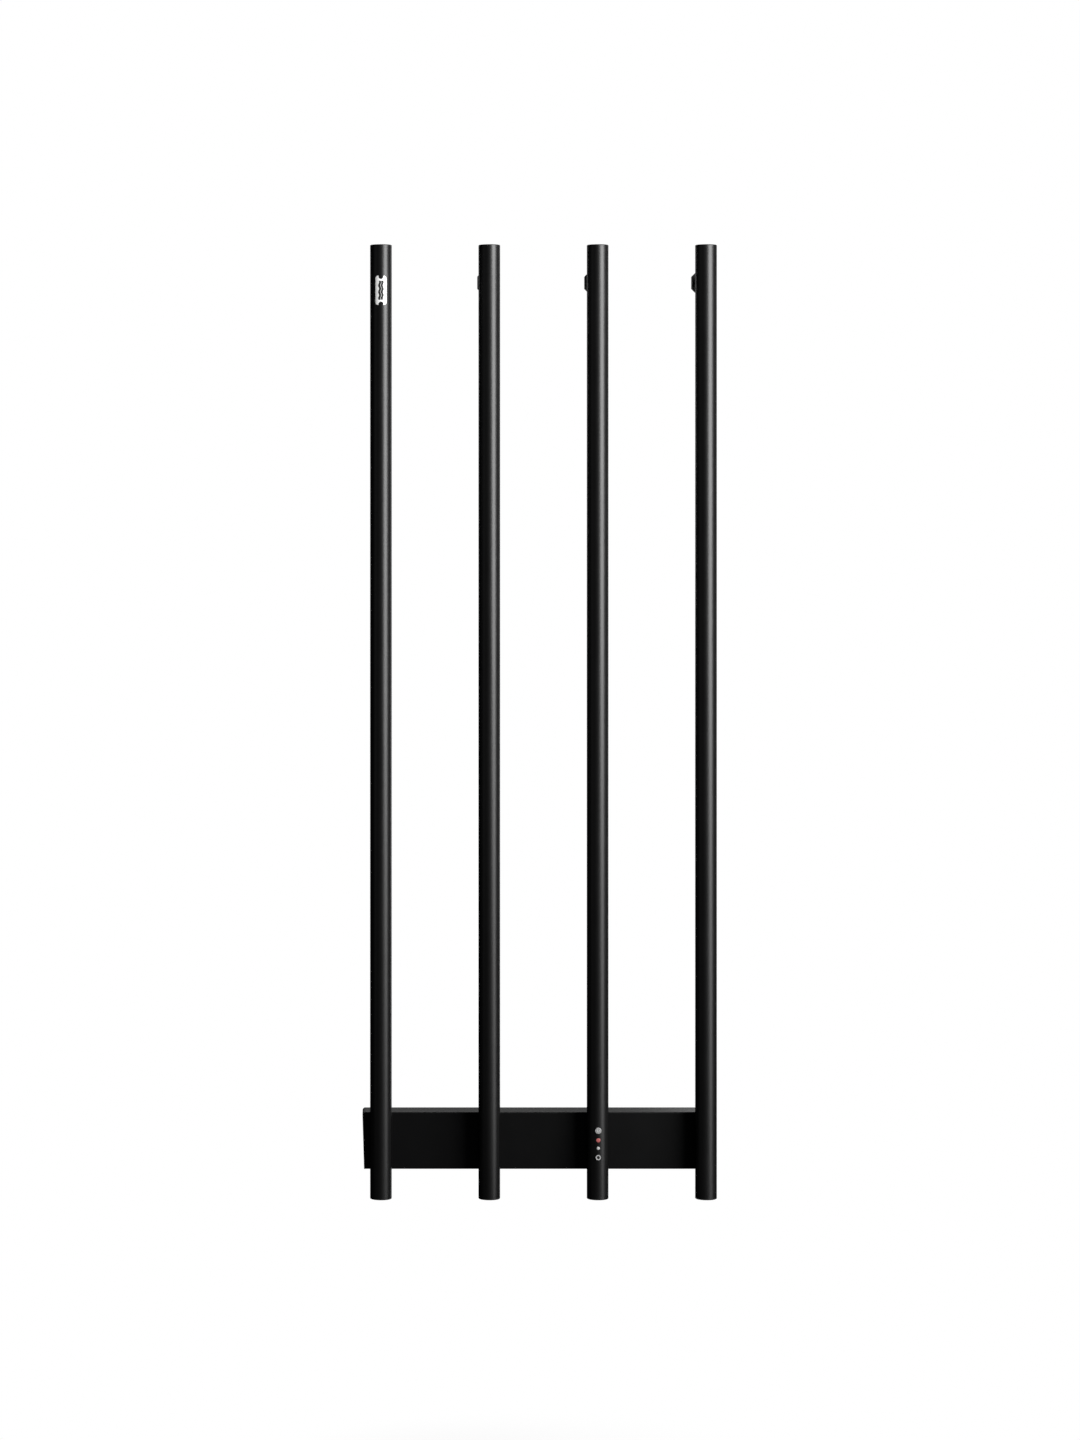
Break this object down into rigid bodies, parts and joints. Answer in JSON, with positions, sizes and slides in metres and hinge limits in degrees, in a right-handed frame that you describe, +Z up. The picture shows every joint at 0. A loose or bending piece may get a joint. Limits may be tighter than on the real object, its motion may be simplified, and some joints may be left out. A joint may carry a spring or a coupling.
{
  "type": "heated drying rail",
  "caption": "Wall-mounted electric drying rail: upright matte black heated tubes on a flat housing with push buttons and indicator lights.",
  "frame": {"origin": "on the wall, midway between the tubes, at the centre of the wall plate's four screw holes", "axes": "+X to the right seen from the front, +Y into the wall, +Z up along the tubes"},
  "size_m": [0.4089, 0.068, 1.1],
  "materials": {
    "tube_powder_coat": "fine matte black powder coat",
    "tube_cap": "matte black",
    "housing_powder_coat": "matte black powder coat",
    "end_cap_plastic": "matte black",
    "foot_coat": "matte black powder coat",
    "black_anodised": "black anodised",
    "heating_cable": "silicone insulation",
    "zinc_steel": "zinc plated",
    "black_steel": "blackened",
    "brass": "plain",
    "white_plate": "satin white",
    "black_rubber": "moulded",
    "black_nylon": "moulded",
    "white_nylon": "moulded",
    "green_nylon": "moulded",
    "relay_case": "moulded",
    "circuit_board": "solder mask",
    "fuse_glass": "clear tube",
    "silicone_lead": "silicone sheath",
    "grey_lead": "sheath",
    "supply_lead": "sheath",
    "cutout_moulding": "moulded",
    "pale_button": "satin pale grey",
    "black_button": "satin black with a pale ring",
    "red_lens": "translucent lens",
    "white_lens": "translucent lens"
  },
  "bodies": {
    "rail": {"board_spacers": "white_nylon", "board_terminals": "green_nylon", "bottom_cap_1": "tube_cap", "bottom_cap_2": "tube_cap", "bottom_cap_3": "tube_cap", "bottom_cap_4": "tube_cap", "cable_grommet": "black_rubber", "clamp_screws": "zinc_steel", "control_board": "circuit_board", "control_carrier": "black_nylon", "control_lead": "grey_lead", "cord_clamp": "black_nylon", "earth_screw": "brass", "fuse": "fuse_glass", "grub_screws": "black_steel", "heater_leads": "silicone_lead", "heating_element_1": "heating_cable", "heating_element_2": "heating_cable", "heating_element_3": "heating_cable", "heating_element_4": "heating_cable", "housing_shell": "housing_powder_coat", "left_end_cap": "end_cap_plastic", "mounting_studs": "zinc_steel", "name_plate": "white_plate", "power_board": "circuit_board", "power_module": "black_nylon", "red_indicator": "red_lens", "relay": "relay_case", "right_end_cap": "end_cap_plastic", "saddle_1": "black_anodised", "saddle_2": "black_anodised", "saddle_3": "black_anodised", "saddle_4": "black_anodised", "standoff_1": "black_anodised", "standoff_2": "black_anodised", "standoff_3": "black_anodised", "standoff_4": "black_anodised", "stud_nuts": "zinc_steel", "supply_leads": "supply_lead", "tact_switches": "black_nylon", "terminal_block": "white_nylon", "terminal_screws": "brass", "thermal_cutouts": "cutout_moulding", "top_cap_1": "tube_cap", "top_cap_2": "tube_cap", "top_cap_3": "tube_cap", "top_cap_4": "tube_cap", "tube_1": "tube_powder_coat", "tube_2": "tube_powder_coat", "tube_3": "tube_powder_coat", "tube_4": "tube_powder_coat", "tube_inserts": "zinc_steel", "wall_foot_1": "foot_coat", "wall_foot_2": "foot_coat", "wall_foot_3": "foot_coat", "wall_foot_4": "foot_coat", "wall_plate": "zinc_steel", "white_indicator": "white_lens"},
    "timer_key": {"timer_button": "pale_button"},
    "power_key": {"power_button": "black_button"}
  },
  "joints": [
    {"name": "timer_press", "type": "slide", "parent": "rail", "child": "timer_key", "axis": [0, 1, 0], "range_m": [0, 0.0005], "stiffness_N_per_m": 3000},
    {"name": "power_press", "type": "slide", "parent": "rail", "child": "power_key", "axis": [0, 1, 0], "range_m": [0, 0.0005], "stiffness_N_per_m": 3000}
  ]
}
